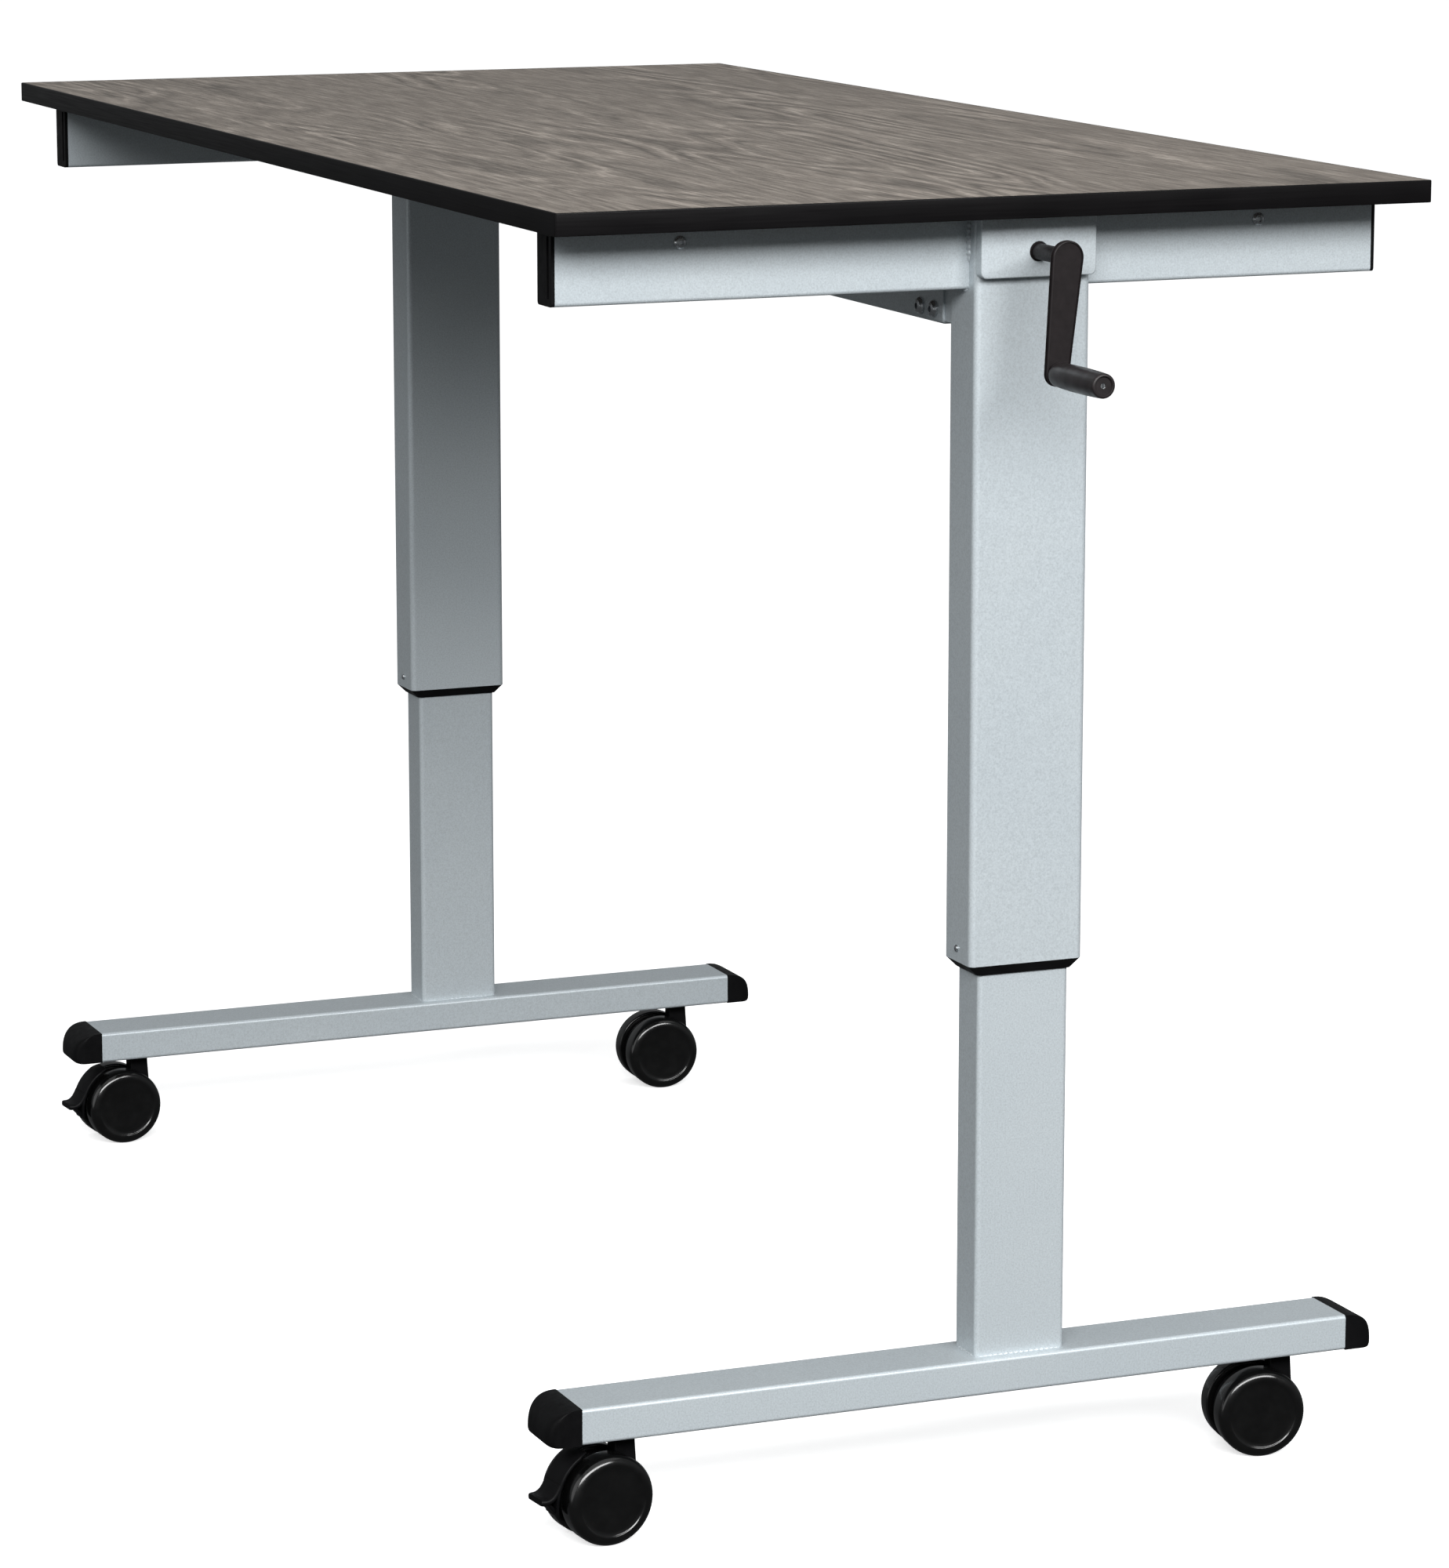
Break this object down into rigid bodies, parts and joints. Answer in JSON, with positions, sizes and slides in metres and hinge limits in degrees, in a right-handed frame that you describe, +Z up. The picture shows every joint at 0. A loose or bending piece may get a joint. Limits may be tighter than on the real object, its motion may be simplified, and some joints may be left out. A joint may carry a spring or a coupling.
{
  "type": "height adjustable desk",
  "caption": "Rectangular standing desk on telescopic steel legs with swivel casters, raised and lowered together by a hand crank at its right-hand end.",
  "frame": {"origin": "on the floor, under the middle of the overall box, which the crank makes longer at one end; the desktop's own middle is 48.5 mm towards -X", "axes": "+X along the desktop towards the crank end, +Y away from the user, +Z up"},
  "size_m": [1.597, 0.751, 1.068],
  "materials": {
    "oak_laminate": "grey-brown oak print, satin",
    "dark_edge_band": "smooth ABS band, satin",
    "silver_powder_coat": "fine metallic powder coat, satin",
    "dark_powder_coat": "powder coat, matt",
    "zinc_plated_steel": "bright zinc",
    "cast_aluminium": "as cast",
    "bronze": "machined",
    "gloss_black_nylon": "moulded, glossy",
    "dark_grip_plastic": "moulded, fine texture",
    "black_plastic": "moulded, satin"
  },
  "bodies": {
    "near_base": {"near_foot": "silver_powder_coat", "near_foot_caps": "black_plastic", "near_stems": "zinc_plated_steel", "near_inner_column": "silver_powder_coat", "near_slide_block": "black_plastic", "near_lead_nut": "bronze"},
    "top": {"desk_board": "oak_laminate", "edge_band": "dark_edge_band", "near_front_arm": "silver_powder_coat", "near_back_arm": "silver_powder_coat", "far_front_arm": "silver_powder_coat", "far_back_arm": "silver_powder_coat", "near_arm_caps": "black_plastic", "far_arm_caps": "black_plastic", "near_outer_column": "silver_powder_coat", "near_collar": "black_plastic", "near_gearbox": "cast_aluminium", "near_cover": "silver_powder_coat", "far_outer_column": "silver_powder_coat", "far_collar": "black_plastic", "far_gearbox": "cast_aluminium", "far_cover": "silver_powder_coat", "crossbeam": "silver_powder_coat", "beam_tabs": "silver_powder_coat", "beam_bolts": "zinc_plated_steel", "frame_screws": "zinc_plated_steel"},
    "far_base": {"far_foot": "silver_powder_coat", "far_foot_caps": "black_plastic", "far_stems": "zinc_plated_steel", "far_inner_column": "silver_powder_coat", "far_slide_block": "black_plastic", "far_lead_nut": "bronze"},
    "crank": {"crank_sleeve": "dark_powder_coat", "crank_arm": "dark_powder_coat", "cross_rod": "zinc_plated_steel", "grip_pin": "zinc_plated_steel", "near_drive_gear": "zinc_plated_steel", "far_drive_gear": "zinc_plated_steel"},
    "grip": {"crank_grip": "dark_grip_plastic"},
    "near_screw": {"near_lead_screw": "zinc_plated_steel"},
    "far_screw": {"far_lead_screw": "zinc_plated_steel"},
    "near_front_caster": {"near_front_hood": "black_plastic", "near_front_axle": "zinc_plated_steel"},
    "near_front_left_wheel": {"near_front_wheel_left": "gloss_black_nylon"},
    "near_front_right_wheel": {"near_front_wheel_right": "gloss_black_nylon"},
    "near_pedal": {"near_brake_pedal": "black_plastic"},
    "near_back_caster": {"near_back_hood": "black_plastic", "near_back_axle": "zinc_plated_steel"},
    "near_back_left_wheel": {"near_back_wheel_left": "gloss_black_nylon"},
    "near_back_right_wheel": {"near_back_wheel_right": "gloss_black_nylon"},
    "far_front_caster": {"far_front_hood": "black_plastic", "far_front_axle": "zinc_plated_steel"},
    "far_front_left_wheel": {"far_front_wheel_left": "gloss_black_nylon"},
    "far_front_right_wheel": {"far_front_wheel_right": "gloss_black_nylon"},
    "far_pedal": {"far_brake_pedal": "black_plastic"},
    "far_back_caster": {"far_back_hood": "black_plastic", "far_back_axle": "zinc_plated_steel"},
    "far_back_left_wheel": {"far_back_wheel_left": "gloss_black_nylon"},
    "far_back_right_wheel": {"far_back_wheel_right": "gloss_black_nylon"}
  },
  "joints": [
    {"name": "desk_lift", "type": "slide", "parent": "near_base", "child": "top", "axis": [0, 0, 1], "range_m": [-0.318, 0.088]},
    {"name": "far_leg_slide", "type": "slide", "parent": "top", "child": "far_base", "axis": [0, 0, -1], "range_m": [-0.318, 0.088]},
    {"name": "crank_turn", "type": "hinge", "parent": "top", "child": "crank", "pos_m": [0.6545, 0.045, 1.02], "axis": [1, 0, 0], "range_deg": [-6337, 22896]},
    {"name": "near_screw_turn", "type": "hinge", "parent": "top", "child": "near_screw", "pos_m": [0.6295, 0.045, 1.02], "axis": [0, 0, 1], "range_deg": [-22896, 6337]},
    {"name": "far_screw_turn", "type": "hinge", "parent": "top", "child": "far_screw", "pos_m": [-0.7265, 0.045, 1.02], "axis": [0, 0, 1], "range_deg": [-22896, 6337]},
    {"name": "grip_spin", "type": "hinge", "parent": "crank", "child": "grip", "pos_m": [0.7185, 0.03707, 0.92935], "axis": [1, 0, 0], "continuous": true},
    {"name": "near_front_swivel", "type": "hinge", "parent": "near_base", "child": "near_front_caster", "pos_m": [0.6295, -0.296, 0.087], "axis": [0, 0, 1], "continuous": true},
    {"name": "near_front_left_roll", "type": "hinge", "parent": "near_front_caster", "child": "near_front_left_wheel", "pos_m": [0.6319, -0.31887, 0.0375], "axis": [0.9945, 0.1045, 0], "continuous": true},
    {"name": "near_front_right_roll", "type": "hinge", "parent": "near_front_caster", "child": "near_front_right_wheel", "pos_m": [0.6319, -0.31887, 0.0375], "axis": [0.9945, 0.1045, 0], "continuous": true},
    {"name": "near_brake", "type": "hinge", "parent": "near_front_caster", "child": "near_pedal", "pos_m": [0.6319, -0.31887, 0.0375], "axis": [0.9945, 0.1045, 0], "range_deg": [0, 15]},
    {"name": "near_back_swivel", "type": "hinge", "parent": "near_base", "child": "near_back_caster", "pos_m": [0.6295, 0.296, 0.087], "axis": [0, 0, 1], "continuous": true},
    {"name": "near_back_left_roll", "type": "hinge", "parent": "near_back_caster", "child": "near_back_left_wheel", "pos_m": [0.6259, 0.27328, 0.0375], "axis": [0.9877, -0.1564, 0], "continuous": true},
    {"name": "near_back_right_roll", "type": "hinge", "parent": "near_back_caster", "child": "near_back_right_wheel", "pos_m": [0.6259, 0.27328, 0.0375], "axis": [0.9877, -0.1564, 0], "continuous": true},
    {"name": "far_front_swivel", "type": "hinge", "parent": "far_base", "child": "far_front_caster", "pos_m": [-0.7265, -0.296, 0.087], "axis": [0, 0, 1], "continuous": true},
    {"name": "far_front_left_roll", "type": "hinge", "parent": "far_front_caster", "child": "far_front_left_wheel", "pos_m": [-0.7249, -0.31894, 0.0375], "axis": [0.9976, 0.0698, 0], "continuous": true},
    {"name": "far_front_right_roll", "type": "hinge", "parent": "far_front_caster", "child": "far_front_right_wheel", "pos_m": [-0.7249, -0.31894, 0.0375], "axis": [0.9976, 0.0698, 0], "continuous": true},
    {"name": "far_brake", "type": "hinge", "parent": "far_front_caster", "child": "far_pedal", "pos_m": [-0.7249, -0.31894, 0.0375], "axis": [0.9976, 0.0698, 0], "range_deg": [0, 15]},
    {"name": "far_back_swivel", "type": "hinge", "parent": "far_base", "child": "far_back_caster", "pos_m": [-0.7265, 0.296, 0.087], "axis": [0, 0, 1], "continuous": true},
    {"name": "far_back_left_roll", "type": "hinge", "parent": "far_back_caster", "child": "far_back_left_wheel", "pos_m": [-0.7277, 0.27303, 0.0375], "axis": [0.9986, -0.0523, 0], "continuous": true},
    {"name": "far_back_right_roll", "type": "hinge", "parent": "far_back_caster", "child": "far_back_right_wheel", "pos_m": [-0.7277, 0.27303, 0.0375], "axis": [0.9986, -0.0523, 0], "continuous": true}
  ],
  "couplings": [
    {"joint": "far_leg_slide", "follows": "desk_lift", "ratio": 1},
    {"joint": "crank_turn", "follows": "desk_lift", "rad_per_m": -1256.6},
    {"joint": "near_screw_turn", "follows": "desk_lift", "rad_per_m": 1256.6},
    {"joint": "far_screw_turn", "follows": "desk_lift", "rad_per_m": 1256.6}
  ]
}
